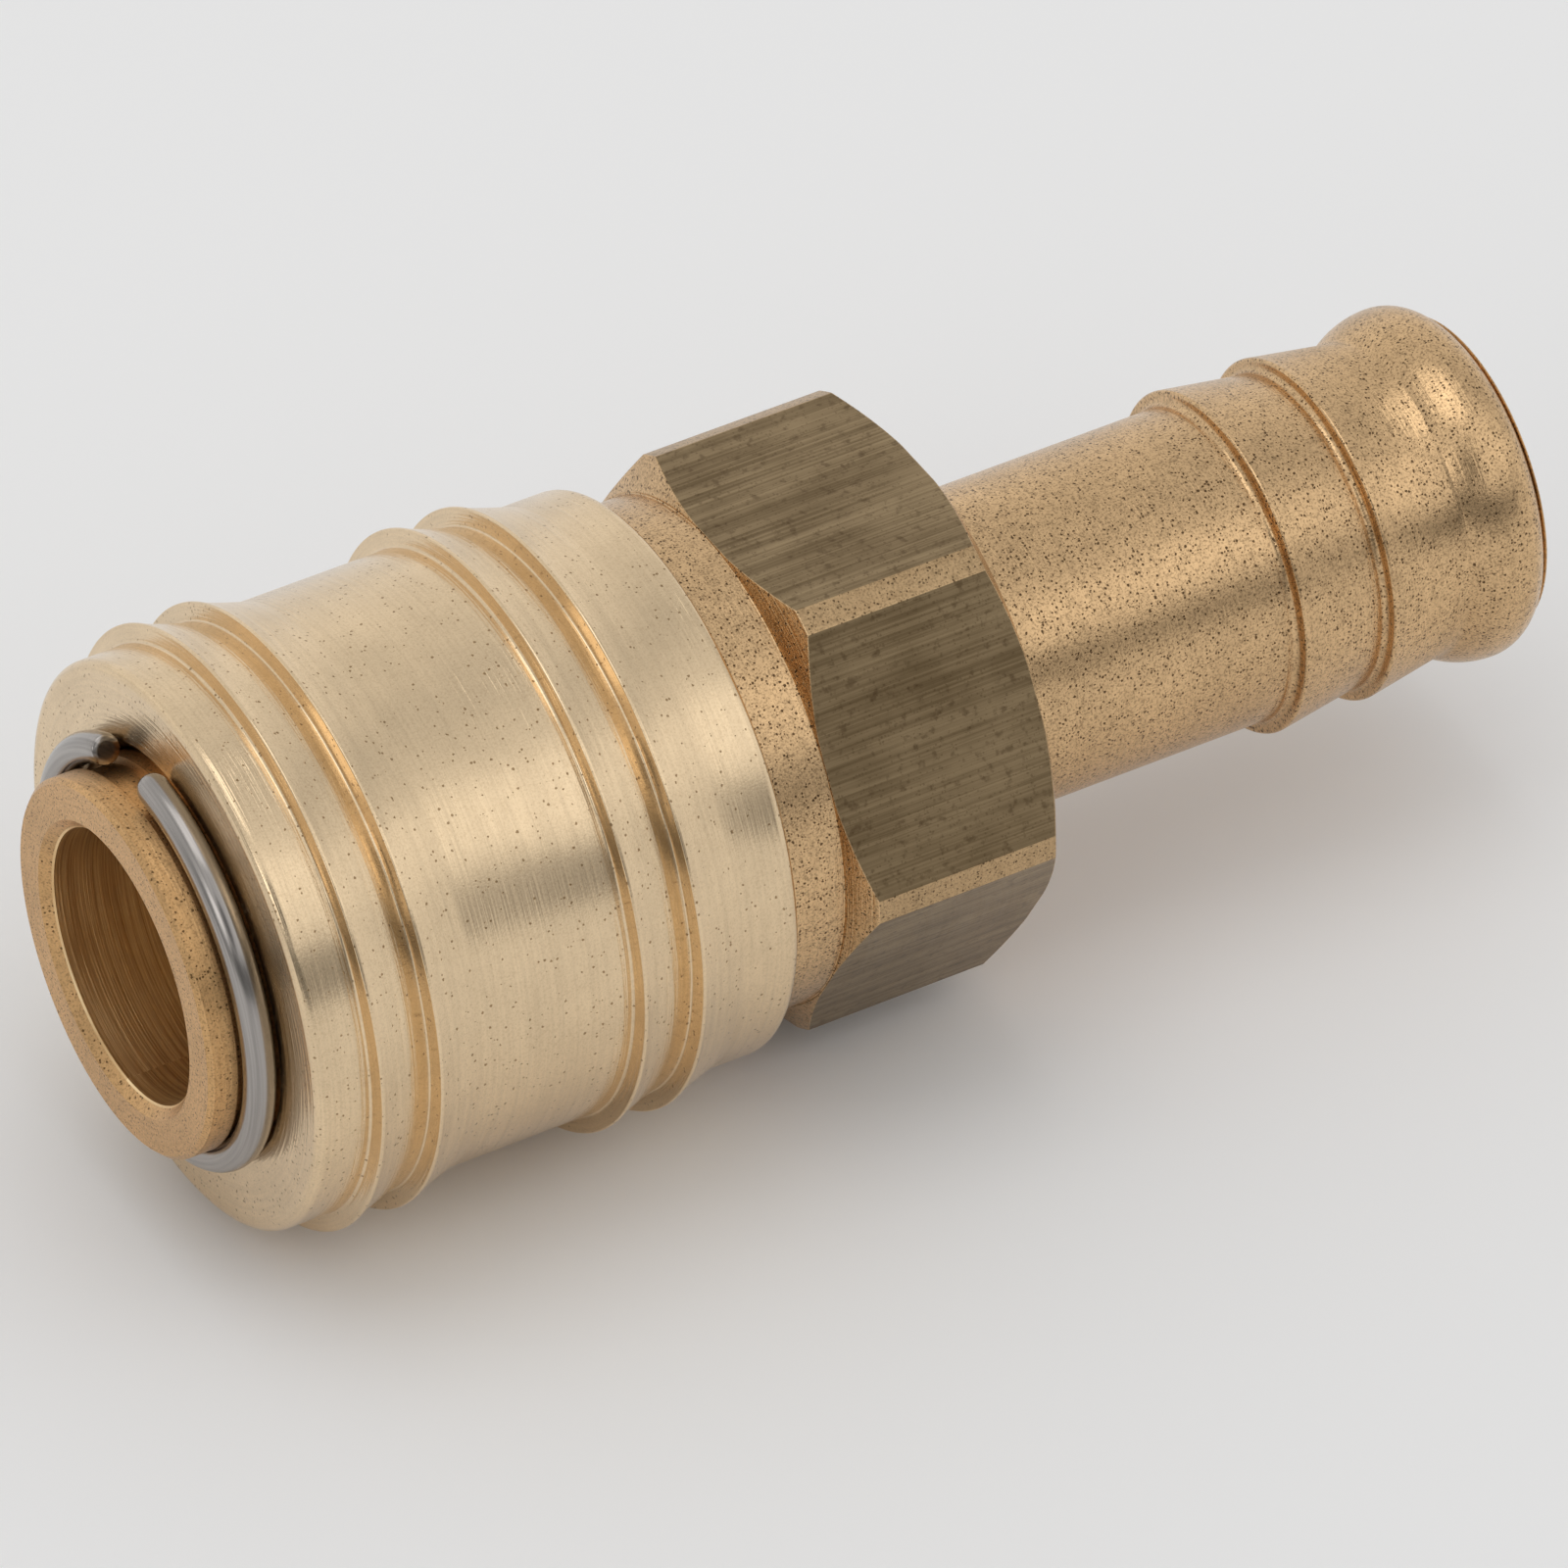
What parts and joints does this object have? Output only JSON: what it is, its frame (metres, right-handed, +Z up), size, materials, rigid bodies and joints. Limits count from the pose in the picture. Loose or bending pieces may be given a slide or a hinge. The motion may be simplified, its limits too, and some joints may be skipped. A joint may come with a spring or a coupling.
{
  "type": "hose tail coupling",
  "caption": "Quick-release air coupling: plug socket with ball lock, ridged sliding sleeve held by a wire ring, shut-off valve, hexagon and barbed hose tail.",
  "frame": {"origin": "on the axis, in the plane of the nose face, at the mouth of the plug socket", "axes": "+X along the axis from the nose to the hose tail, +Z up, square to a flat of the hexagon"},
  "size_m": [0.0605, 0.0246, 0.0247],
  "materials": {
    "sleeve_brass": "satin, fine turned lines",
    "body_brass": "turned",
    "hex_brass": "drawn bar with turned ends",
    "ring_steel": "drawn wire",
    "ball_steel": "ground",
    "spring_steel": "drawn wire",
    "seal_rubber": "moulded"
  },
  "bodies": {
    "housing": {"socket_body": "body_brass", "hose_tail": "hex_brass", "retaining_ring": "ring_steel", "plug_seal": "seal_rubber", "valve_spring": "spring_steel"},
    "sleeve_spring": {"sleeve_spring": "spring_steel"},
    "sleeve": {"sleeve": "sleeve_brass"},
    "valve_poppet": {"valve_poppet": "body_brass"},
    "ball_1": {"ball_1": "ball_steel"},
    "ball_2": {"ball_2": "ball_steel"},
    "ball_3": {"ball_3": "ball_steel"},
    "ball_4": {"ball_4": "ball_steel"},
    "ball_5": {"ball_5": "ball_steel"},
    "ball_6": {"ball_6": "ball_steel"}
  },
  "joints": [
    {"name": "sleeve_slide", "type": "slide", "parent": "housing", "child": "sleeve_spring", "axis": [1, 0, 0], "range_m": [0, 0.0024], "stiffness_N_per_m": 1500, "springref_m": -0.006, "deforming": ["sleeve_spring"]},
    {"name": "sleeve_spin", "type": "hinge", "parent": "sleeve_spring", "child": "sleeve", "pos_m": [0, 0, 0], "axis": [1, 0, 0], "continuous": true},
    {"name": "valve_slide", "type": "slide", "parent": "housing", "child": "valve_poppet", "axis": [1, 0, 0], "range_m": [0, 0.003], "stiffness_N_per_m": 800, "springref_m": -0.005, "deforming": ["valve_spring"]},
    {"name": "ball_1_slide", "type": "slide", "parent": "housing", "child": "ball_1", "axis": [0, 0, 1], "range_m": [0, 0.0008]},
    {"name": "ball_2_slide", "type": "slide", "parent": "housing", "child": "ball_2", "axis": [0, -0.866, 0.5], "range_m": [0, 0.0008]},
    {"name": "ball_3_slide", "type": "slide", "parent": "housing", "child": "ball_3", "axis": [0, -0.866, -0.5], "range_m": [0, 0.0008]},
    {"name": "ball_4_slide", "type": "slide", "parent": "housing", "child": "ball_4", "axis": [0, 0, -1], "range_m": [0, 0.0008]},
    {"name": "ball_5_slide", "type": "slide", "parent": "housing", "child": "ball_5", "axis": [0, 0.866, -0.5], "range_m": [0, 0.0008]},
    {"name": "ball_6_slide", "type": "slide", "parent": "housing", "child": "ball_6", "axis": [0, 0.866, 0.5], "range_m": [0, 0.0008]}
  ],
  "couplings": [
    {"joint": "ball_1_slide", "follows": "sleeve_slide", "ratio": 0.3333},
    {"joint": "ball_2_slide", "follows": "sleeve_slide", "ratio": 0.3333},
    {"joint": "ball_3_slide", "follows": "sleeve_slide", "ratio": 0.3333},
    {"joint": "ball_4_slide", "follows": "sleeve_slide", "ratio": 0.3333},
    {"joint": "ball_5_slide", "follows": "sleeve_slide", "ratio": 0.3333},
    {"joint": "ball_6_slide", "follows": "sleeve_slide", "ratio": 0.3333}
  ]
}
